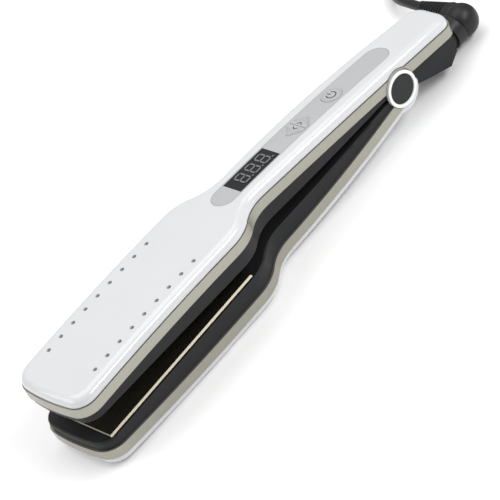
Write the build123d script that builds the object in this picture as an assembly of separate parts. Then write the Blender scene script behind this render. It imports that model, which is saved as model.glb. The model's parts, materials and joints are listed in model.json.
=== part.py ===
from build123d import *
import math
import os

os.makedirs("parts", exist_ok=True)

# Wide-plate flat iron, in millimetres.
# Each arm is drawn in its own frame: the hinge axis is the Y axis through the origin, -X runs to the
# nose, z = 0 is the plane where the two plates meet and z > 0 is the outside of the arm.

# --- driving dimensions: the arm in plan -------------------------------------------------------
NOSE = 254.5          # hinge axis to the nose of the cover
TAIL = 49.5           # hinge axis to the tail of the cover
PADDLE_HALF = 26.8    # half width of the cover at the plates
NOSE_FRONT_R = 140    # the front edge is very slightly bowed
NOSE_CORNER_R = 11
SHOULDER_X = -137     # where the paddle starts to narrow
SHOULDER_R = 27.8
SHOULDER_TURN = 37.7  # degrees
HANDLE_R = 1400       # bow of the handle's sides
HANDLE_SPREAD = 2.4   # degrees, direction of the side where the handle starts
HANDLE_SWEEP = 5.85   # degrees, whole turn of the handle's side
TAIL_CORNER_R = 9

# --- driving dimensions: the arm from the side -------------------------------------------------
ARCH_X = -138         # highest point of the lengthwise arch
ARCH_Z = 21.6
ARCH_R = 1406
GAP_DEPTH = 5.4       # seam between cover and trim, below the arch
TRIM_DEPTH = 11.2     # inner edge of the trim, below the arch
EDGE_R = 4.6          # rounded edge of the covers
FLAT_CUT = 0.8        # the lower cover is flattened by this much, to stand on
WALL = 1.8

# --- the fit of the arms -----------------------------------------------------------------------
OPEN = 3.2            # degrees that the arms stand open
LEAN = 1.2            # degrees that the lower arm leans nose-down, so that the swivel clears the floor
RIM_Z = 0.7           # inner rim of the shells, behind the plate plane
HINGE_X = 91.3        # hinge axis in the part's frame
lean = math.radians(LEAN)
HINGE_Z = ARCH_R - FLAT_CUT - (ARCH_R - ARCH_Z) * math.cos(lean) - ARCH_X * math.sin(lean)
EAR_IN, EAR_OUT = 11.2, 15.3      # the lower arm's two hinge ears, distances from the middle
EAR_R = 10.0
RING_R = 10.2
RING_GAP = 0.5        # dark line round each hinge ring
CAP_R = 8.3
DISC_FACE = 17.5      # outer face of the hinge rings
PIN_R = 2.5
BARREL_R = 8.4

# --- plates and heaters ------------------------------------------------------------------------
PLATE_FRONT, PLATE_REAR = -246, -134
PLATE_HALF = 24.0
PLATE_T = 2.2
FLOAT_TRAVEL = 1.0
PLATE_X = (PLATE_FRONT + PLATE_REAR) / 2
PLATE_L = PLATE_REAR - PLATE_FRONT

# --- control panel -----------------------------------------------------------------------------
PANEL_NOSE, PANEL_TAIL, PANEL_HALF = -120.5, 12.0, 7.5
WINDOW_NOSE, WINDOW_TAIL, WINDOW_HALF = -107.5, -77.0, 6.9
KEYS_X = -56.4        # middle of the two chevron keys
KEY_REACH, KEY_HALF = 8.2, 6.0
POWER_X, POWER_R = -29.9, 5.9
BOARD_Z = 10.6
BOARD_T = 1.6

# --- tail and cord -----------------------------------------------------------------------------
SWIVEL_X, SWIVEL_Z = 63.5, -10.8  # middle of the swivel knuckle; its axis runs along the arm
KNUCKLE_R = 9.5
CORD_R = 2.7
CORD_LENGTH = 1800
RELIEF_START, RELIEF_END = 8.5, 32.7
RELIEF_YAW = 3.9                  # degrees that the strain relief leans away from the arm


def outline(grow=0.0):
    """Plan outline of an arm, every side moved out by grow."""
    sine = (PADDLE_HALF - NOSE_CORNER_R) / (NOSE_FRONT_R - NOSE_CORNER_R)
    bow = math.degrees(math.asin(sine))
    end_turn = 90 - (HANDLE_SWEEP - HANDLE_SPREAD)
    front = JernArc((-NOSE - grow, 0), (0, 1), NOSE_FRONT_R + grow, -bow)
    corner = JernArc(front @ 1, front % 1, NOSE_CORNER_R + grow, -(90 - bow))
    side = Line(corner @ 1, (SHOULDER_X, (corner @ 1).Y))
    out_turn = JernArc(side @ 1, (1, 0), SHOULDER_R + grow, -SHOULDER_TURN)
    back_turn = JernArc(out_turn @ 1, out_turn % 1, SHOULDER_R - grow, SHOULDER_TURN + HANDLE_SPREAD)
    handle = JernArc(back_turn @ 1, back_turn % 1, HANDLE_R + grow, -HANDLE_SWEEP)
    tail = JernArc(handle @ 1, handle % 1, TAIL_CORNER_R + grow, -end_turn)
    close = Line(tail @ 1, ((tail @ 1).X, 0))
    half = Wire([front, corner, side, out_turn, back_turn, handle, tail, close])
    return make_face(Wire([*half.edges(), *half.mirror(Plane.XZ).edges()]).edges())


def prism(grow=0.0, low=-8.0, high=30.0):
    """The arm's outline as an upright solid."""
    return Pos(0, 0, low) * extrude(outline(grow), amount=high - low)


def under(depth):
    """All that lies more than depth below the lengthwise arch."""
    drum = Cylinder(ARCH_R - depth, 120, rotation=(90, 0, 0))
    reach = Box(380, 120, 60)
    return (Pos(ARCH_X, 0, ARCH_Z - ARCH_R) * drum) & (Pos(-100, 0, 8) * reach)


def across(radius, inner, outer, x=0.0, z=0.0):
    """Two equal discs on the Y direction, one on each side of the arm."""
    disc = Cylinder(radius, outer - inner, rotation=(90, 0, 0))
    middle = (inner + outer) / 2
    return (Pos(x, middle, z) * disc) + (Pos(x, -middle, z) * disc)


def through(radius, half, x=0.0, z=0.0):
    """One cylinder along Y through the middle."""
    return Pos(x, 0, z) * Cylinder(radius, 2 * half, rotation=(90, 0, 0))


def block(x0, x1, half, z0, z1):
    return Pos((x0 + x1) / 2, 0, (z0 + z1) / 2) * Box(x1 - x0, 2 * half, z1 - z0)


def arch_z(x, depth=0.0):
    """Height of the lengthwise arch at x."""
    return ARCH_Z - ARCH_R + math.sqrt((ARCH_R - depth) ** 2 - (x - ARCH_X) ** 2)


def cut(part, *tools):
    """The part less each tool in turn, kept as plain solids."""
    for tool in tools:
        part = Compound((part - Compound(tool.solids())).solids())
    return part


def upper(part):
    """From the arm's own frame to the open upper arm."""
    return Pos(HINGE_X, 0, HINGE_Z) * (Rot(0, OPEN - LEAN, 0) * part)


def lower(part):
    return Pos(HINGE_X, 0, HINGE_Z) * (Rot(0, -LEAN, 0) * mirror(part, Plane.XY))


nodes = {}


def keep(name, part):
    """Solids of one node, written out as one STEP."""
    solids = part.solids() if hasattr(part, "solids") else [s for p in part for s in p.solids()]
    shape = solids[0] if len(solids) == 1 else Compound(solids)
    nodes[name] = shape
    export_step(shape, f"parts/{name}.step")


# --- outer covers: thin moulded lids with a rounded edge, seated on the trim -------------------
def lid():
    outside = prism(0, 0, 30) & under(0)
    top_edges = outside.faces().sort_by(lambda f: f.center().Z)[-1].edges()
    outside = fillet(top_edges, EDGE_R)
    inside = prism(-WALL, -1, 30) & under(WALL)
    shell = outside - inside - under(GAP_DEPTH)
    seam = (prism(0.5, 0, 30) - prism(-0.6, 0, 30)) & under(GAP_DEPTH - 0.4)
    return shell - seam


VENT_PITCH, VENT_COUNT, VENT_ROW_Y, VENT_R = 9.5, 9, 18.3, 1.25
VENT_FIRST_X = -231.8
BOSS_R = RING_R + 1.1 # the trim's half-round boss over each hinge ring
NOTCH_R = BOSS_R + 0.2


def vents():
    pin = Cylinder(VENT_R, 30)
    xs = [VENT_FIRST_X + VENT_PITCH * i for i in range(VENT_COUNT)]
    return Part() + [Pos(x, y, 20) * pin for x in xs for y in (-VENT_ROW_Y, VENT_ROW_Y)]


def stadium(x0, x1, half, low, high):
    shape = SlotOverall(x1 - x0, 2 * half)
    return Pos((x0 + x1) / 2, 0, low) * extrude(shape, amount=high - low)


base_lid = lid()
notch = across(NOTCH_R, EAR_IN - 0.3, 30)
panel_bed = stadium(PANEL_NOSE - 0.2, PANEL_TAIL + 0.2, PANEL_HALF + 0.2, 5, 30) - under(0.9)
panel_bay = stadium(WINDOW_NOSE - 1, POWER_X + 7, 6.5, 5, 30)
upper_lid = cut(base_lid, vents(), notch, panel_bed, panel_bay)
keep("upper_cover", upper(upper_lid))

KNUCKLE_COVER_R = 11.7
KNUCKLE_X, KNUCKLE_Z = -0.3, 2.0  # middle of the lower cover's round knuckle
knuckle_skin = through(KNUCKLE_COVER_R, 16.2, KNUCKLE_X, KNUCKLE_Z) - through(RING_R + 0.4, 20)
knuckle_skin = knuckle_skin & block(-9, 20, 20, 3.4, 20)
lower_lid = base_lid & block(-300, -0.3, 40, -2, 30)
lower_lid = cut(lower_lid, through(KNUCKLE_COVER_R - 0.6, 20, KNUCKLE_X, KNUCKLE_Z)) + knuckle_skin
lower_lid = cut(lower_lid, through(RING_R + 0.4, 30))
keep("lower_cover", cut(lower(lower_lid), block(-300, 300, 60, -10, 0)))

# --- trim bands: satin metallised frames clamped between cover and shell ------------------------
TRIM_OUT, TRIM_IN = 0.7, -2.0


def band():
    ring = cut(prism(TRIM_OUT, -8, 30), prism(TRIM_IN, -9, 31))
    return cut(ring & under(GAP_DEPTH), under(TRIM_DEPTH))


base_band = band()
hinge_gap = across(RING_R + RING_GAP, EAR_IN - 0.3, 30)
boss_top = block(-20, 20, 30, arch_z(0, TRIM_DEPTH), 30)
boss = across(BOSS_R, 14.6, 17.0) & boss_top & prism(TRIM_OUT + 0.2, -8, 30)
keep("upper_trim", upper(cut(base_band + boss, hinge_gap)))
lower_band = base_band & block(-300, -1.0, 40, -8, 30)
lower_band = cut(lower_band, through(RING_R + 0.35, 30), knuckle_skin)
keep("lower_trim", lower(lower_band))

# --- inner shells: matte heat-resistant trays that carry the plates ----------------------------
FLOOR_T = 2.2
RECESS_HALF = 10.8
RECESS_Z, SHELF_Z = 5.2, 7.4      # floor of the finger recess, and its back
SCREW_XS = (-119, -21)            # case screws, in the finger recess
SCREW_R = 1.3
POST_XS, POST_Y, POST_R = (-70, -18), 8.0, 2.4
POCKET_GAP = 0.35


def tray():
    wall_low = prism(-0.5, RIM_Z, 30) & under(TRIM_DEPTH + 0.03)
    wall_high = prism(TRIM_IN - 0.1, RIM_Z, 30) & under(GAP_DEPTH + 0.5)
    solid = wall_low + wall_high
    rim = [e for e in solid.edges() if abs(e.center().Z - RIM_Z) < 0.01]
    solid = fillet(rim, 1.2)
    cavity = prism(-3.5, RIM_Z + FLOOR_T, 30)
    handle_floor = prism(-3.4, RIM_Z + FLOOR_T, SHELF_Z) & block(-131, TAIL, 40, 0, 8)
    recess = stadium(-127, -13, RECESS_HALF, -1, RECESS_Z)
    pocket = Pos(PLATE_X, 0, 1.6) * Box(PLATE_L + 2 * POCKET_GAP, 2 * (PLATE_HALF + POCKET_GAP), 4)
    holes = Part() + [Pos(x, 0, 8) * Cylinder(SCREW_R + 0.05, 10) for x in SCREW_XS]
    return cut(cut(solid, cavity) + handle_floor, recess, pocket, holes)


base_tray = tray()
ears_room = across(RING_R + RING_GAP, EAR_IN - 0.3, 30)
barrel = across(BARREL_R, 5.0, EAR_IN - 0.4)
web = cut(block(-6.5, 6.5, EAR_IN - 0.4, 0, 7.4), block(-20, 20, 5.0, -20, 20))
bush_bore = through(PIN_R + 1.5, 20)
TAIL_BLOCK_HALF = 12.6
profile = [(12.9, 4), (12.9, -9.2), (37.0, -17.4), (44.4, -12.7), (45.0, -8.0), (45.0, 4)]
tail_face = Plane.XZ * make_face(Polyline(*profile, close=True).edges())
tail_block = extrude(tail_face, amount=TAIL_BLOCK_HALF, both=True)
posts = Part() + [Pos(x, y, (7.2 + BOARD_Z) / 2) * (Cylinder(POST_R, BOARD_Z - 7.2) - Cylinder(1.25, 4))
                  for x in POST_XS for y in (-POST_Y, POST_Y)]
tail_block = fillet(tail_block.edges().filter_by(Axis.Y), 0.8)


def on_tail(part):
    """Places a piece drawn along +X on the swivel axis, its origin in the knuckle's middle."""
    return Pos(SWIVEL_X, 0, SWIVEL_Z) * part


def round_x(radius, x0, x1, end_radius=None):
    """A round bar or a cone along +X."""
    same = end_radius is None
    bar = Cylinder(radius, x1 - x0) if same else Cone(radius, end_radius, x1 - x0)
    return Pos((x0 + x1) / 2, 0, 0) * (Rot(0, 90, 0) * bar)


SOCKET_BORE = 5.2
KEEL_START_R, KEEL_R = 5.6, 7.4
TAIL_FACE = 45 - SWIVEL_X         # rear face of the tail block, on the swivel axis
keel = on_tail(round_x(KEEL_START_R, -44, -32, KEEL_R) + round_x(KEEL_R, -32.1, TAIL_FACE))
tail_room = on_tail(round_x(SOCKET_BORE, -39, TAIL_FACE + 1))
tray_hinge = cut(base_tray + tail_block + keel, ears_room, across(9.2, 0, 5.0)) + barrel + web
spring_room = block(-9.2, 9.2, 4.9, -9.2, 6.2)
tray_hinge = cut(tray_hinge, bush_bore, tail_room, spring_room, base_band + boss) + posts
keep("upper_shell", upper(tray_hinge))

ears = across(EAR_R, EAR_IN, EAR_OUT)
lower_tray = base_tray & block(-300, -2, 40, -2, 30)
lower_tray = cut(lower_tray, through(RING_R + 0.2, 30))
ear_web = ears + cut(block(-14, -2, EAR_OUT, 1.2, 8), block(-20, 0, EAR_IN, 0, 9))
lower_tray = lower_tray + (ear_web & block(-20, 12, 40, -10.2, 10.2))
lower_tray = cut(lower_tray, through(PIN_R, 20), through(BARREL_R + 0.6, EAR_IN - 0.01))
lower_tray = cut(lower_tray, knuckle_skin, lower_band)
keep("lower_shell", lower(lower_tray))

# --- heated plates and what floats with them ----------------------------------------------------
BEVEL = 0.9


def plate_box(length, half, z0, z1, middle=PLATE_X):
    return Pos(middle, 0, (z0 + z1) / 2) * Box(length, 2 * half, z1 - z0)


def plate():
    slab = plate_box(PLATE_L, PLATE_HALF, 0, PLATE_T)
    face_edges = slab.faces().sort_by(Axis.Z)[0].edges()
    slab = chamfer(face_edges.filter_by(Axis.X), BEVEL)
    front = slab.edges().filter_by(Axis.Y).group_by(Axis.Z)[0].sort_by(Axis.X)
    return chamfer([front[0], front[-1]], 0.5)


def carrier():
    ring = plate_box(PLATE_L - 3, 22.0, PLATE_T, 4.2)
    return cut(ring, plate_box(PLATE_L - 15, 12.5, PLATE_T - 1, 5))


def clamp():
    bridge = plate_box(90, 11.0, 7.35, 8.1)
    legs = plate_box(90, 11.0, PLATE_T + 0.05, 7.5) - plate_box(100, 10.2, 0, 8)
    return bridge + legs


CUSHION_REACH = 34
float_parts = {
    "plate": plate(),
    "plate_carrier": carrier(),
    "heater": plate_box(84, 8.0, PLATE_T + 0.05, 7.0),
    "heater_film": plate_box(85, 8.4, 7.02, 7.3),
    "heater_clamp": clamp(),
    "thermistor": plate_box(3.8, 2.0, PLATE_T + 0.05, 4.1, PLATE_X + 45.6),
}
cushion_xs = (PLATE_X - CUSHION_REACH, PLATE_X + CUSHION_REACH)
cushions = Part() + [Pos(x, 0, 10.05) * Cylinder(5, 1.7) for x in cushion_xs]
shield = plate_box(PLATE_L - 4, 22.4, 10.95, 11.5)


def leads(end_x):
    """The heater's two insulated leads, from the plate's end towards the hinge."""
    start_x = PLATE_REAR - 4
    wire = Cylinder(0.9, end_x - start_x, rotation=(0, 90, 0))
    return Part() + [Pos((start_x + end_x) / 2, y, 9.3) * wire for y in (-4, 4)]


case_screws = Part() + [
    Pos(x, 0, 0) * (Pos(0, 0, 7.4) * Cylinder(SCREW_R, 4.4) + Pos(0, 0, 4.45) * Cylinder(2.5, 1.5))
    for x in SCREW_XS
]
for side, place, lead_end in (("upper", upper, -112.5), ("lower", lower, -16)):
    for name, part in float_parts.items():
        keep(f"{side}_{name}", place(part))
    keep(f"{side}_cushions", place(cushions))
    keep(f"{side}_heat_shield", place(shield))
    keep(f"{side}_leads", place(leads(lead_end)))
    keep(f"{side}_case_screws", place(case_screws))

# --- control panel: a flush strip with a display window, a power button and two chevron keys ---
KEY_GAP = 0.15


def key_outline(toward, grow=0.0):
    """One half of the diamond that the two chevron keys form; toward is -1 for the nose key."""
    near = KEYS_X + toward * (0.3 - grow)
    knee = KEYS_X + toward * 2.6
    tip = KEYS_X + toward * (KEY_REACH + grow)
    half = KEY_HALF + grow
    points = [(near, -half), (knee, -half), (tip, -0.7), (tip, 0.7), (knee, half), (near, half)]
    return make_face(Polyline(*points, close=True).edges())


def raised(face_or_disc, above, below):
    """A prism over a plan shape, trimmed to the arch above and below."""
    return cut(face_or_disc & under(-above), under(below))


def tower(face):
    return Pos(0, 0, 8) * extrude(face, amount=20)


power_disc = Pos(POWER_X, 0, 15) * Cylinder(POWER_R, 20)
power_hole = Pos(POWER_X, 0, 15) * Cylinder(POWER_R + KEY_GAP, 22)
window_box = block(WINDOW_NOSE, WINDOW_TAIL, WINDOW_HALF, 5, 30)
strip = raised(stadium(PANEL_NOSE, PANEL_TAIL, PANEL_HALF, 5, 30), -0.05, 0.85)
strip = cut(strip, window_box, power_hole, tower(key_outline(-1, KEY_GAP)), tower(key_outline(1, KEY_GAP)))
keep("control_panel", upper(strip))
keep("display_window", upper(raised(window_box, -0.12, 0.85)))
keep("power_button", upper(raised(power_disc, 0.15, 2.4)))
keep("down_key", upper(raised(tower(key_outline(-1)), 0.15, 2.4)))
keep("up_key", upper(raised(tower(key_outline(1)), 0.15, 2.4)))

MODULE_TOP = 18.0
DIGIT_W, DIGIT_H, DIGIT_STEP = 4.4, 8.0, 7.6
STROKE = 0.9
module = block(WINDOW_NOSE + 0.8, WINDOW_TAIL - 0.8, 6.0, BOARD_Z + BOARD_T + 0.05, MODULE_TOP)
keep("display_module", upper(module))


def digit(x):
    """Seven bars and a point; the digit's foot is on the -Y side, and it reads from nose to tail."""
    rows = (-DIGIT_H / 2, 0, DIGIT_H / 2)
    across_bars = [Pos(x, y, 0) * Box(DIGIT_W - STROKE, STROKE, 0.2) for y in rows]
    upright = DIGIT_H / 2 - STROKE - 0.2
    up_bars = [Pos(x + dx, y, 0) * Box(STROKE, upright, 0.2)
               for dx in (-DIGIT_W / 2, DIGIT_W / 2) for y in (-DIGIT_H / 4, DIGIT_H / 4)]
    point = Pos(x + DIGIT_W / 2 + 1.3, -DIGIT_H / 2, 0) * Cylinder(0.55, 0.2)
    return [*across_bars, *up_bars, point]


window_x = (WINDOW_NOSE + WINDOW_TAIL) / 2 + 1.5
bars = [b for i in (-1, 0, 1) for b in digit(window_x + i * DIGIT_STEP)]
keep("display_digits", upper(Pos(0, 0, MODULE_TOP + 0.12) * (Part() + bars)))

# --- control board under the panel ---------------------------------------------------------------
board_top = BOARD_Z + BOARD_T
board = block(-112, -13.5, 10.8, BOARD_Z + 0.02, board_top)
post_places = [Pos(x, y, 0) for x in POST_XS for y in (-POST_Y, POST_Y)]
board_holes = Part() + [place * Pos(0, 0, BOARD_Z) * Cylinder(1.25, 6) for place in post_places]
keep("circuit_board", upper(cut(board, board_holes)))
screw = Pos(0, 0, 10.2) * Cylinder(1.15, 4.0) + Pos(0, 0, board_top + 0.75) * Cylinder(2.1, 1.4)
keep("board_screws", upper(Part() + [place * screw for place in post_places]))


def switch(x, top):
    base = block(x - 2.4, x + 2.4, 2.4, board_top + 0.03, top - 0.6)
    return base + Pos(x, 0, top - 0.45) * Cylinder(1.1, 0.9)


switches = [switch(KEYS_X - 3.4, 16.4), switch(KEYS_X + 3.4, 16.0), switch(POWER_X, 14.4)]
keep("tact_switches", upper(Part() + switches))
keep("triac", upper(block(-73, -66, 3.0, board_top + 0.03, 15.2)))
keep("film_capacitor", upper(block(-47, -37, 4.0, board_top + 0.03, 15.4)))
keep("controller_chip", upper(block(-84, -75, 4.5, 9.2, BOARD_Z - 0.02)))

# --- hinge -------------------------------------------------------------------------------------
keep("hinge_pin", lower(through(PIN_R - 0.01, EAR_OUT - 0.1)))
bush = cut(across(PIN_R + 1.48, 5.05, EAR_IN - 0.45), through(PIN_R + 0.05, 20))
keep("hinge_bushes", upper(bush))
spring_coil = cut(through(5.0, 4.4), through(3.1, 5))
spring_legs = [Pos(-4.4, 3.6 * s, 4.3 * s) * Cylinder(0.65, 8.6, rotation=(0, 90, 0)) for s in (-1, 1)]
keep("hinge_spring", upper(spring_coil + spring_legs[0] + spring_legs[1]))
for side, hand in (("near", -1), ("far", 1)):
    disc = Pos(0, hand * (EAR_OUT + DISC_FACE) / 2 + hand * 0.03, 0)
    ring = disc * Cylinder(RING_R, DISC_FACE - EAR_OUT - 0.06, rotation=(90, 0, 0))
    ring = cut(ring, through(CAP_R, 30))
    ring = fillet(ring.edges().filter_by(GeomType.CIRCLE), 0.35)
    cap = Pos(0, hand * (EAR_OUT + 0.05 + 0.85), 0) * Cylinder(CAP_R - 0.06, 1.7, rotation=(90, 0, 0))
    outer_rim = cap.edges().filter_by(GeomType.CIRCLE).sort_by(lambda e: hand * e.center().Y)[-1]
    cap = fillet(outer_rim, 0.5)
    keep(f"hinge_ring_{side}", lower(ring))
    keep(f"hinge_cap_{side}", lower(cap))

# --- swivel at the tail: a collar in the shell, and a knuckle that turns in it -------------------
COLLAR_R, COLLAR_START, COLLAR_END = 9.0, -12.7, -5.5
STUB_R, STUB_END = 3.4, -33.1
collar = round_x(COLLAR_R, COLLAR_START, COLLAR_END)
rear_edge = collar.edges().filter_by(GeomType.CIRCLE).sort_by(Axis.X)[-1]
collar = fillet(rear_edge, 1.6) + round_x(7.6, TAIL_FACE + 0.02, COLLAR_START + 0.5)
collar = collar + round_x(SOCKET_BORE - 0.03, STUB_END + 0.1, TAIL_FACE + 1)
keep("swivel_collar", upper(on_tail(cut(collar, round_x(STUB_R + 0.05, -50, 0)))))


def round_y(radius, y0, y1, end_radius=None):
    """A round bar or a cone along the strain relief, which leaves the knuckle sideways."""
    same = end_radius is None
    bar = Cylinder(radius, y1 - y0) if same else Cone(radius, end_radius, y1 - y0)
    return Rot(0, 0, -RELIEF_YAW) * (Pos(0, (y0 + y1) / 2, 0) * (Rot(-90, 0, 0) * bar))


BARREL_SIDE_R = 8.2
collar_side = block(-40, COLLAR_END + 0.15, 30, -30, 30)
knuckle = cut(Sphere(KNUCKLE_R) + round_y(BARREL_SIDE_R, 0, RELIEF_START), collar_side)
knuckle = knuckle + round_x(STUB_R, STUB_END, -4)
keep("swivel_knuckle", upper(on_tail(knuckle)))
keep("swivel_clip", upper(on_tail(round_x(4.5, STUB_END - 1.4, STUB_END - 0.02))))

RELIEF_R, RELIEF_TIP_R = 8.0, 3.4
SLOTS, SLOT_PITCH, SLOT_W, SLOT_DEPTH = 9, 2.3, 1.0, 1.3
relief = round_y(RELIEF_R, RELIEF_START + 0.02, RELIEF_END, RELIEF_TIP_R)
taper = (RELIEF_R - RELIEF_TIP_R) / (RELIEF_END - RELIEF_START)
for slot in range(SLOTS):
    slot_y = RELIEF_START + 2.2 + SLOT_PITCH * slot
    core = RELIEF_R - taper * (slot_y - RELIEF_START) - SLOT_DEPTH
    groove = round_y(RELIEF_R + 1, slot_y - SLOT_W / 2, slot_y + SLOT_W / 2)
    relief = cut(relief, groove - round_y(core, slot_y - 2, slot_y + 2))
keep("strain_relief", upper(on_tail(cut(relief, Sphere(KNUCKLE_R), collar_side))))

# --- cord: 1.8 m, drawn to a put-away coil behind the tail, with a two-pin plug -----------------
LAY_Z = CORD_R + 0.1
yaw = math.radians(RELIEF_YAW)
exit_at = Pos(SWIVEL_X + RELIEF_END * math.sin(yaw), RELIEF_END * math.cos(yaw), SWIVEL_Z)
CORD_EXIT = tuple(upper(exit_at).position)
LEAD = [
    CORD_EXIT, (157.4, 44.6, 10.4), (161.0, 57.5, 6.8), (168.0, 69.5, 3.8), (178.5, 78.8, LAY_Z),
    (191.5, 84.0, LAY_Z), (204.0, 83.6, LAY_Z),
]
COIL_AT, COIL_R = (214.2, 46.0), 30.0
COIL_COLUMNS, COIL_ROWS = 3, 3
COIL_BASE = 0.7
PLUG_X, PLUG_Z = 265.6, 6.8
TAIL_END = [
    (237.0, 76.5, LAY_Z), (250.2, 72.0, LAY_Z), (260.0, 62.0, LAY_Z), (264.8, 48.8, 4.2),
    (PLUG_X, 35.0, PLUG_Z),
]


def cord_tube(name, points):
    """Straight runs and the largest arcs that they leave room for."""
    knots = [Vector(*p) for p in points]
    radii = []
    for a, b, c in zip(knots, knots[1:], knots[2:]):
        turn = (b - a).get_angle(c - b)
        shorter = min((b - a).length, (c - b).length)
        radii.append(0.45 * shorter / math.tan(math.radians(turn / 2)))
    path = FilletPolyline(*points, radius=radii)
    section = Plane(origin=path @ 0, z_dir=path % 0) * Circle(CORD_R)
    tube = sweep(section, path=path)
    ideal = math.pi * CORD_R**2 * path.length
    print(name, "length", round(path.length, 1), "volume ratio", round(tube.volume / ideal, 4),
          "radii", [round(r, 1) for r in radii])
    keep(name, tube)
    return path.length


used = cord_tube("cord", LEAD) + cord_tube("cord_end", TAIL_END)
coil_width, coil_height = 2 * CORD_R * COIL_COLUMNS, 2 * CORD_R * COIL_ROWS
ring_face = Pos(COIL_R, COIL_BASE + coil_height / 2, 0) * RectangleRounded(coil_width, coil_height, 2.4)
coil = revolve(Plane.XZ * ring_face, Axis.Z)
keep("cord_coil", Pos(*COIL_AT, 0) * coil)
turns = (CORD_LENGTH - used) / (2 * math.pi * COIL_R)
print("coil turns", round(turns, 2), "cord exit", [round(v, 2) for v in CORD_EXIT])

tie_out = Box(5, coil_width + 1.4, coil_height + 1.2)
tie_in = Box(6, coil_width + 0.3, coil_height + 0.2)
keep("cord_tie", Pos(COIL_AT[0], COIL_AT[1] - COIL_R, COIL_BASE + coil_height / 2) * (tie_out - tie_in))

RELIEF_L, BODY_L, PIN_L = 14, 32, 19
plug_front = TAIL_END[-1][1]
relief_cone = Rot(90, 0, 0) * Cone(CORD_R + 0.5, 4.4, RELIEF_L - 0.1)
keep("plug_relief", Pos(PLUG_X, plug_front - RELIEF_L / 2, PLUG_Z) * relief_cone)
body_start = plug_front - RELIEF_L
wide = RectangleRounded(26, 13.6, 4)
narrow = RectangleRounded(15, 11, 4)
NECK_L = 14
neck, shoulder = [
    Plane(origin=(PLUG_X, body_start - back, PLUG_Z), x_dir=(1, 0, 0), z_dir=(0, -1, 0)) for back in (0, NECK_L)
]
plug = loft([neck * narrow, shoulder * wide]) + extrude(shoulder * wide, amount=BODY_L - NECK_L)
keep("plug_body", plug)
pin_middle = body_start - BODY_L - PIN_L / 2 - 0.02
PIN_APART = 9.3
pin = Rot(90, 0, 0) * Cylinder(2.0, PIN_L)
pins = [Pos(PLUG_X + side * PIN_APART, pin_middle, PLUG_Z) * pin for side in (-1, 1)]
keep("plug_pins", Part() + pins)

for name in ("lower_shell", "lower_cover", "upper_cover", "upper_trim", "swivel_knuckle"):
    box = nodes[name].bounding_box()
    print(name, [round(v, 2) for v in (*box.min, *box.max)])
print(len(nodes), "nodes")
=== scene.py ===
import json
import math
import bmesh
import bpy
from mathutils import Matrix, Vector


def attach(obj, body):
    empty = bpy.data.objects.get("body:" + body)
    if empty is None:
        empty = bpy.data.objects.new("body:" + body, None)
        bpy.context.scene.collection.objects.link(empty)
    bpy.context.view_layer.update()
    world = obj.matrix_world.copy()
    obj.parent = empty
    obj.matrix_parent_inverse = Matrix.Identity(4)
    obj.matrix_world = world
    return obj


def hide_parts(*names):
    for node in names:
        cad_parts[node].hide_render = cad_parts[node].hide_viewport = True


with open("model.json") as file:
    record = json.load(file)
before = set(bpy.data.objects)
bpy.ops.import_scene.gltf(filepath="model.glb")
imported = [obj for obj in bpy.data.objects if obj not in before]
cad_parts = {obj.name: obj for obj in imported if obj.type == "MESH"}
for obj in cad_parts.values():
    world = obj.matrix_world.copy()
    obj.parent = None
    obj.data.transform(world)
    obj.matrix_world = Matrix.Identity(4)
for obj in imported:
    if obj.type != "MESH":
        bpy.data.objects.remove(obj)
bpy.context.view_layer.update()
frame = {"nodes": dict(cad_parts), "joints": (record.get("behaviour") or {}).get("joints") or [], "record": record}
nodes = frame["nodes"]
joints = {joint["name"]: joint for joint in frame["joints"]}

# --- camera, lights and table -------------------------------------------------------------------
# The iron lies on a pale table under a big soft overhead light, a broad window light from the nose's
# side and a strip that runs a highlight along the near edges, seen through a long lens from above.
camera = bpy.data.objects.new("camera", bpy.data.cameras.new("camera"))
bpy.context.collection.objects.link(camera)
camera.location = (-0.5902, -1.1266, 0.9712)
camera.rotation_euler = [math.radians(turn) for turn in (48.453, 24.141, -46.589)]
camera.data.sensor_width = 36
camera.data.lens = 222.3
bpy.context.scene.camera = camera


def soft_light(name, place, aim, size, power, tint=(1, 1, 1)):
    lamp = bpy.data.lights.new(name, "AREA")
    lamp.shape = "RECTANGLE"
    lamp.size, lamp.size_y = size
    lamp.energy = power
    lamp.color = tint
    holder = bpy.data.objects.new(name, lamp)
    bpy.context.collection.objects.link(holder)
    holder.location = place
    holder.rotation_euler = (Vector(aim) - Vector(place)).to_track_quat("-Z", "Y").to_euler()


middle = (-0.02, 0.0, 0.03)
soft_light("overhead", (0.05, 0.25, 1.1), middle, (1.5, 1.0), 7.6)
soft_light("window", (-1.0, 0.5, 0.55), middle, (0.9, 0.7), 4)
soft_light("edge_strip", (0.50, -0.85, 0.95), middle, (1.2, 0.35), 11)
bpy.context.scene.view_settings.view_transform = "Standard"

world = bpy.data.worlds.new("studio")
bpy.context.scene.world = world
world.use_nodes = True
world.node_tree.nodes["Background"].inputs["Color"].default_value = (1, 1, 1, 1)
world.node_tree.nodes["Background"].inputs["Strength"].default_value = 0.50

table_mesh = bpy.data.meshes.new("table")
table_mesh.from_pydata([(-4, -4, 0), (4, -4, 0), (4, 4, 0), (-4, 4, 0)], [], [(0, 1, 2, 3)])
table = bpy.data.objects.new("table", table_mesh)
bpy.context.collection.objects.link(table)
table.location.z = -0.0004


def nodes_of(material):
    material.use_nodes = True
    return material.node_tree.nodes, material.node_tree.links, material.node_tree.nodes["Principled BSDF"]


paper = bpy.data.materials.new("table_paper")
shader_nodes, links, shader = nodes_of(paper)
shader.inputs["Base Color"].default_value = (0.96, 0.96, 0.96, 1)
shader.inputs["Roughness"].default_value = 0.7
table.data.materials.append(paper)

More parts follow.
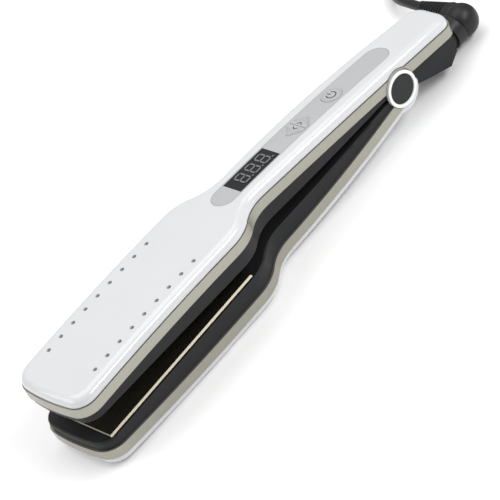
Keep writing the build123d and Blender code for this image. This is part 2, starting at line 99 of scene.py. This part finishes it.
# --- supply cord --------------------------------------------------------------------------------
# A round two-core lead in soft black PVC, 1.8 m long and 5.4 mm thick. It leaves the swivelling
# strain relief sideways, sinks to the table and is put away in a tied coil behind the tail.
CORD_R = 0.0027
LAY_Z = CORD_R + 0.0001
arm_angle = math.atan2(-joints["cord_swivel"]["axis"][2], joints["cord_swivel"]["axis"][0])


def on_arm(point, arm="upper"):
    """From an arm's own frame, hinge axis at its origin and plates at z = 0, to the table's frame."""
    x, y, z = point
    hinge = Vector(joints["arm_hinge"]["pos_m"])
    lean = math.radians(1.2)
    turn = arm_angle if arm == "upper" else -lean
    z = z if arm == "upper" else -z
    ahead = x * math.cos(turn) + z * math.sin(turn)
    height = z * math.cos(turn) - x * math.sin(turn)
    return hinge + Vector((ahead, y, height))


relief_yaw = math.radians(3.9)
relief_end = 0.0327
swivel_x, swivel_z = 0.0635, -0.0108
relief_tip = (swivel_x + relief_end * math.sin(relief_yaw), relief_end * math.cos(relief_yaw), swivel_z)
cord_exit = on_arm(relief_tip)
lead = [
    tuple(cord_exit), (0.1574, 0.0446, 0.0104), (0.1610, 0.0575, 0.0068), (0.1680, 0.0695, 0.0038),
    (0.1785, 0.0788, LAY_Z), (0.1915, 0.0840, LAY_Z), (0.2040, 0.0836, LAY_Z),
]
coil_x, coil_y, coil_r, coil_base = 0.2142, 0.0460, 0.0300, 0.0007
layer_turns, layers = 3, 3
steps = 16  # points to a turn
climb = 0.25  # turns, each side of a change of layer
start_angle = 95  # degrees


def climbed(turn, at):
    """How far the winding has risen to the next layer, from 0 to 1, about the turn where it climbs."""
    part = max(0.0, min(1.0, (turn - at + climb) / (2 * climb)))
    return part * part * (3 - 2 * part)


def round_coil(degrees, radius, height):
    angle = math.radians(degrees)
    return (coil_x + radius * math.cos(angle), coil_y + radius * math.sin(angle), height)


winding = []
for step in range(2, layer_turns * layers * steps - 2):
    turn = step / steps
    layer = int(turn // layer_turns)
    spread = 1 - 2 * (turn - layer_turns * layer) / layer_turns
    if layer % 2:
        spread = -spread
    risen = climbed(turn, layer_turns) + climbed(turn, 2 * layer_turns)
    height = coil_base + CORD_R + 2 * CORD_R * risen
    winding.append(round_coil(start_angle - 360 * turn, coil_r + 2 * CORD_R * spread, height))
over_the_turns = [
    round_coil(122, 0.0262, 0.0170), round_coil(102, 0.0305, 0.0196), round_coil(82, 0.0352, 0.0180),
]
tail_end = [
    round_coil(66, 0.0385, 0.0100), (0.2385, 0.0790, LAY_Z), (0.2502, 0.0730, LAY_Z), (0.2600, 0.0620, LAY_Z),
    (0.2648, 0.0488, 0.0042), (0.2656, 0.0350, 0.0068),
]
route = lead + winding + over_the_turns + tail_end
cord_curve = bpy.data.curves.new("cord", "CURVE")
cord_curve.dimensions = "3D"
cord_line = cord_curve.splines.new("NURBS")
cord_line.points.add(len(route) - 1)
for point, place in zip(cord_line.points, route):
    point.co = (*place, 1)
cord_line.order_u = 3
cord_line.use_endpoint_u = True
cord_curve.resolution_u = 4
cord_curve.bevel_depth = CORD_R
cord_curve.bevel_resolution = 5
cord_curve.use_fill_caps = True
cord = bpy.data.objects.new("supply_cord", cord_curve)
bpy.context.collection.objects.link(cord)


def moulded(name, colour, rough, grain=4000.0, depth=0.03, drift=0.03, coat=0.0, metal=0.0, stretch=(1, 1, 1),
             specular=0.5):
    """A moulded or coated finish: fine grain in the surface, and a slow drift in colour and gloss."""
    material = bpy.data.materials.new(name)
    shader_nodes, links, shader = nodes_of(material)
    place = shader_nodes.new("ShaderNodeTexCoord")
    mapping = shader_nodes.new("ShaderNodeMapping")
    mapping.inputs["Scale"].default_value = stretch
    links.new(place.outputs["Object"], mapping.inputs["Vector"])
    slow = shader_nodes.new("ShaderNodeTexNoise")
    slow.inputs["Scale"].default_value = 45
    slow.inputs["Detail"].default_value = 4
    links.new(mapping.outputs["Vector"], slow.inputs["Vector"])
    fine = shader_nodes.new("ShaderNodeTexNoise")
    fine.inputs["Scale"].default_value = grain
    fine.inputs["Detail"].default_value = 3
    links.new(mapping.outputs["Vector"], fine.inputs["Vector"])
    tones = shader_nodes.new("ShaderNodeValToRGB")
    tones.color_ramp.elements[0].position = 0.3
    tones.color_ramp.elements[0].color = (*[c * (1 - drift) for c in colour], 1)
    tones.color_ramp.elements[1].position = 0.7
    tones.color_ramp.elements[1].color = (*[min(1, c * (1 + drift)) for c in colour], 1)
    links.new(slow.outputs["Fac"], tones.inputs["Fac"])
    links.new(tones.outputs["Color"], shader.inputs["Base Color"])
    gloss = shader_nodes.new("ShaderNodeMapRange")
    gloss.inputs["To Min"].default_value = rough * 0.85
    gloss.inputs["To Max"].default_value = min(1, rough * 1.15)
    links.new(fine.outputs["Fac"], gloss.inputs["Value"])
    links.new(gloss.outputs["Result"], shader.inputs["Roughness"])
    bump = shader_nodes.new("ShaderNodeBump")
    bump.inputs["Strength"].default_value = depth
    bump.inputs["Distance"].default_value = 0.0002
    links.new(fine.outputs["Fac"], bump.inputs["Height"])
    links.new(bump.outputs["Normal"], shader.inputs["Normal"])
    shader.inputs["Coat Weight"].default_value = coat
    shader.inputs["Coat Roughness"].default_value = 0.05
    shader.inputs["Metallic"].default_value = metal
    shader.inputs["Specular IOR Level"].default_value = specular
    return material


dressed = {"cord", "cord_coil", "cord_end", "display_digits"}


def dress(node, material):
    """Gives a machined part its finish."""
    dressed.add(node)
    mesh = nodes[node].data
    mesh.materials.clear()
    mesh.materials.append(material)


pvc = moulded("cord_pvc", (0.010, 0.010, 0.011), 0.40, grain=2600, depth=0.12, specular=0.35)
cord.data.materials.append(pvc)
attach(cord, "cord_swivel_body")
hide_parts("cord", "cord_coil", "cord_end")

# --- strain relief, tie and plug ----------------------------------------------------------------
# The strain relief is a soft ribbed cone moulded on the lead; the tie is a flat rubber band; the
# plug is a moulded two-pin body with nickel pins.
relief_rubber = moulded("relief_rubber", (0.010, 0.010, 0.011), 0.48, grain=3200, depth=0.15, specular=0.3)
tie_rubber = moulded("tie_rubber", (0.014, 0.014, 0.015), 0.6, grain=3000, depth=0.2, specular=0.3)
plug_rubber = moulded("plug_rubber", (0.012, 0.012, 0.013), 0.48, grain=3000, depth=0.15, specular=0.3)
nickel = moulded(
    "plug_nickel", (0.72, 0.70, 0.65), 0.2, grain=1500, depth=0.02, metal=1.0, stretch=(1, 0.1, 1),
)
dress("strain_relief", relief_rubber)
dress("cord_tie", tie_rubber)
dress("plug_body", plug_rubber)
dress("plug_relief", plug_rubber)
dress("plug_pins", nickel)

# --- covers -------------------------------------------------------------------------------------
# Two thin lids moulded in white ABS with a polished surface; the upper has two rows of vents.
white_abs = moulded("cover_white", (0.60, 0.61, 0.625), 0.24, grain=900, depth=0.015, drift=0.01, coat=0.6)
dress("upper_cover", white_abs)
dress("lower_cover", white_abs)

# --- trim bands ---------------------------------------------------------------------------------
# Frames clamped between cover and shell, metallised in a pale champagne satin.
champagne = moulded(
    "trim_champagne", (0.36, 0.35, 0.30), 0.30, grain=2200, depth=0.05, drift=0.04, metal=0.8,
    stretch=(0.06, 1, 1),
)
dress("upper_trim", champagne)
dress("lower_trim", champagne)

# --- inner shells -------------------------------------------------------------------------------
# Heat-resistant trays in matte charcoal nylon that carry the plates, the ears and the tail block.
charcoal = moulded(
    "shell_charcoal", (0.009, 0.0095, 0.011), 0.52, grain=2400, depth=0.2, drift=0.08, specular=0.3,
)
dress("upper_shell", charcoal)
dress("lower_shell", charcoal)

# --- plates -------------------------------------------------------------------------------------
# Aluminium plates with a dark mirror-polished ceramic coating.
coating = moulded(
    "plate_coating", (0.12, 0.11, 0.085), 0.22, grain=1800, depth=0.01, drift=0.05, metal=0.9,
    stretch=(0.1, 1, 1),
)
dress("upper_plate", coating)
dress("lower_plate", coating)

# --- hinge --------------------------------------------------------------------------------------
# A white ring and a matte black cap close each end of the hinge pin.
ring_white = moulded(
    "hinge_ring_white", (0.82, 0.82, 0.82), 0.25, grain=1200, depth=0.02, drift=0.01, coat=0.4,
)
cap_black = moulded("hinge_cap_black", (0.010, 0.011, 0.012), 0.5, grain=2600, depth=0.12, specular=0.35)
for side in ("near", "far"):
    dress(f"hinge_ring_{side}", ring_white)
    dress(f"hinge_cap_{side}", cap_black)

# --- control panel ------------------------------------------------------------------------------
# A satin silver-grey strip, snapped into the upper cover, holds a smoked display window, two keys
# with raised chevrons and a round power button; arrows and the power sign are pad-printed in black.
panel_grey = moulded("panel_grey", (0.40, 0.41, 0.42), 0.34, grain=1600, depth=0.03, drift=0.02, coat=0.2)
key_grey = moulded("key_grey", (0.40, 0.41, 0.42), 0.32, grain=1600, depth=0.04, drift=0.02, coat=0.2)
window_smoked = moulded("window_smoked", (0.006, 0.007, 0.009), 0.12, grain=1600, depth=0.004, drift=0.03)
segment_grey = moulded("segment_grey", (0.15, 0.155, 0.155), 0.4, grain=1600, depth=0.01)
print_black = moulded("print_black", (0.012, 0.012, 0.013), 0.45, grain=1600, depth=0.02)
dress("control_panel", panel_grey)
dress("display_window", window_smoked)
dress("display_module", print_black)
for key in ("power_button", "down_key", "up_key"):
    dress(key, key_grey)
ARCH_X, ARCH_Z, ARCH_R = -0.138, 0.0216, 1.406


def on_panel(x, y, above):
    """A point over the panel, above the upper cover's lengthwise arch."""
    arch = ARCH_Z - ARCH_R + math.sqrt(ARCH_R ** 2 - (x - ARCH_X) ** 2)
    return on_arm((x, y, arch + above))


def printed(name, outlines, above, material, body):
    """Flat marks a few hundredths of a millimetre thick, each an outline of (x, y) points."""
    mark = bmesh.new()
    for outline in outlines:
        mark.faces.new([mark.verts.new(on_panel(x, y, above)) for x, y in outline])
    bmesh.ops.recalc_face_normals(mark, faces=mark.faces)
    for face in mark.faces:
        if face.normal.z < 0:
            face.normal_flip()
    mesh = bpy.data.meshes.new(name)
    mark.to_mesh(mesh)
    mark.free()
    mesh.materials.append(material)
    piece = bpy.data.objects.new(name, mesh)
    bpy.context.collection.objects.link(piece)
    thick = piece.modifiers.new("film", "SOLIDIFY")
    thick.thickness = 0.00005
    thick.offset = -1
    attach(piece, body)
    return piece


def bar(x0, y0, x1, y1, half):
    """A seven-segment bar with pointed ends, from one end point to the other."""
    along = Vector((x1 - x0, y1 - y0)).normalized()
    side = Vector((-along.y, along.x)) * half
    a, b = Vector((x0, y0)), Vector((x1, y1))
    inner_a, inner_b = a + along * half, b - along * half
    return [a, inner_a - side, inner_b - side, b, inner_b + side, inner_a + side]


MARK_RISE, RIDGE_RISE = 0.00022, 0.00018  # above the cover's arch
digit_w, digit_h, digit_step, bar_half = 0.0046, 0.0086, 0.0078, 0.00048
bar_gap, point_r, point_step = 0.0002, 0.0007, 0.0014
window_middle = -0.0913
segments = []
for place in (-1, 0, 1):
    middle_x = window_middle + place * digit_step
    left, right = middle_x - digit_w / 2, middle_x + digit_w / 2
    for y in (-digit_h / 2, 0, digit_h / 2):
        segments.append(bar(left + bar_gap, y, right - bar_gap, y, bar_half))
    for x in (left, right):
        segments.append(bar(x, -digit_h / 2 + bar_gap, x, -bar_gap, bar_half))
        segments.append(bar(x, bar_gap, x, digit_h / 2 - bar_gap, bar_half))
    corners = [math.radians(45 + 90 * k) for k in range(4)]
    segments.append([
        (right + point_step + point_r * math.cos(a), -digit_h / 2 + point_r * math.sin(a)) for a in corners
    ])
digits = printed("display_segments", segments, RIDGE_RISE, segment_grey, "upper_arm")
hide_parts("display_digits")

KEYS_X, KEY_REACH, KEY_HALF = -0.0564, 0.0082, 0.0060
POWER_X, POWER_R = -0.0299, 0.0059
for key, body, toward in (("down", "down_key_body", -1), ("up", "up_key_body", 1)):
    root, tip = KEYS_X + toward * 0.0011, KEYS_X + toward * 0.0025
    stroke = toward * 0.0006
    arms = [
        [(root, y), (tip, 0.0), (tip + stroke, 0.0), (root + stroke, y)] for y in (-0.0017, 0.0017)
    ]
    arrow = printed(f"{key}_arrow", arms, MARK_RISE, print_black, body)
    chevron = bpy.data.curves.new(f"{key}_chevrons", "CURVE")
    chevron.dimensions = "3D"
    chevron.bevel_depth = 0.00022
    chevron.bevel_resolution = 2
    chevron.use_fill_caps = True
    for inset in (0.0007, 0.0024):
        line = chevron.splines.new("POLY")
        reach, half = KEY_REACH - inset * 1.3, KEY_HALF - inset * 0.8
        shape = [(0.0026, -half), (reach, -0.0003), (reach, 0.0003), (0.0026, half)]
        line.points.add(len(shape) - 1)
        for point, (x, y) in zip(line.points, shape):
            point.co = (*on_panel(KEYS_X + toward * x, y, RIDGE_RISE), 1)
    ridges = bpy.data.objects.new(f"{key}_chevrons", chevron)
    bpy.context.collection.objects.link(ridges)
    chevron.materials.append(key_grey)
    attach(ridges, body)

SIGN_R, SIGN_GAP, SIGN_HALF = 0.0026, 40, 0.00030
outer, inner = [], []
for k in range(33):
    angle = math.radians(90 + SIGN_GAP + (360 - 2 * SIGN_GAP) * k / 32)
    outer.append((POWER_X + (SIGN_R + SIGN_HALF) * math.cos(angle), (SIGN_R + SIGN_HALF) * math.sin(angle)))
    inner.append((POWER_X + (SIGN_R - SIGN_HALF) * math.cos(angle), (SIGN_R - SIGN_HALF) * math.sin(angle)))
arc = [[outer[k], outer[k + 1], inner[k + 1], inner[k]] for k in range(32)]
stem = [
    (POWER_X - SIGN_HALF, 0.0005), (POWER_X + SIGN_HALF, 0.0005),
    (POWER_X + SIGN_HALF, SIGN_R + 0.0005), (POWER_X - SIGN_HALF, SIGN_R + 0.0005),
]
power_sign = printed("power_sign", arc + [stem], MARK_RISE, print_black, "power_button_body")
rim_curve = bpy.data.curves.new("power_rim", "CURVE")
rim_curve.dimensions = "3D"
rim_curve.bevel_depth = 0.00025
rim_curve.bevel_resolution = 2
rim_line = rim_curve.splines.new("POLY")
rim_line.points.add(47)
rim_r = POWER_R - 0.0008
for k, point in enumerate(rim_line.points):
    angle = math.radians(7.5 * k)
    point.co = (*on_panel(POWER_X + rim_r * math.cos(angle), rim_r * math.sin(angle), RIDGE_RISE), 1)
rim_line.use_cyclic_u = True
power_rim = bpy.data.objects.new("power_rim", rim_curve)
bpy.context.collection.objects.link(power_rim)
rim_curve.materials.append(key_grey)
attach(power_rim, "power_button_body")

# --- swivel -------------------------------------------------------------------------------------
# The collar is fixed in the tail; the knuckle turns in it and carries the lead out sideways.
swivel_black = moulded("swivel_black", (0.009, 0.009, 0.010), 0.42, grain=2600, depth=0.1, specular=0.35)
dress("swivel_collar", swivel_black)
dress("swivel_knuckle", swivel_black)

# --- inner parts --------------------------------------------------------------------------------
# What the covers hide: heaters and their clamps, heat shields, the control board and the hinge's
# steel pin, bushes and spring, each in the finish that its slot names.
record_colours = {entry["slot"]: entry["base_color"][:3] for entry in frame["record"]["materials"]}
inner_finishes = {}
for part in frame["record"]["subparts"]:
    slot = part["material_slot"]
    if part["node"] in dressed:
        continue
    if slot not in inner_finishes:
        steel = slot in ("spring_steel", "aluminium")
        rough = 0.35 if steel else 0.5
        inner_finishes[slot] = moulded(
            f"inner_{slot}", record_colours[slot], rough, grain=1800, depth=0.08, metal=float(steel),
        )
    dress(part["node"], inner_finishes[slot])
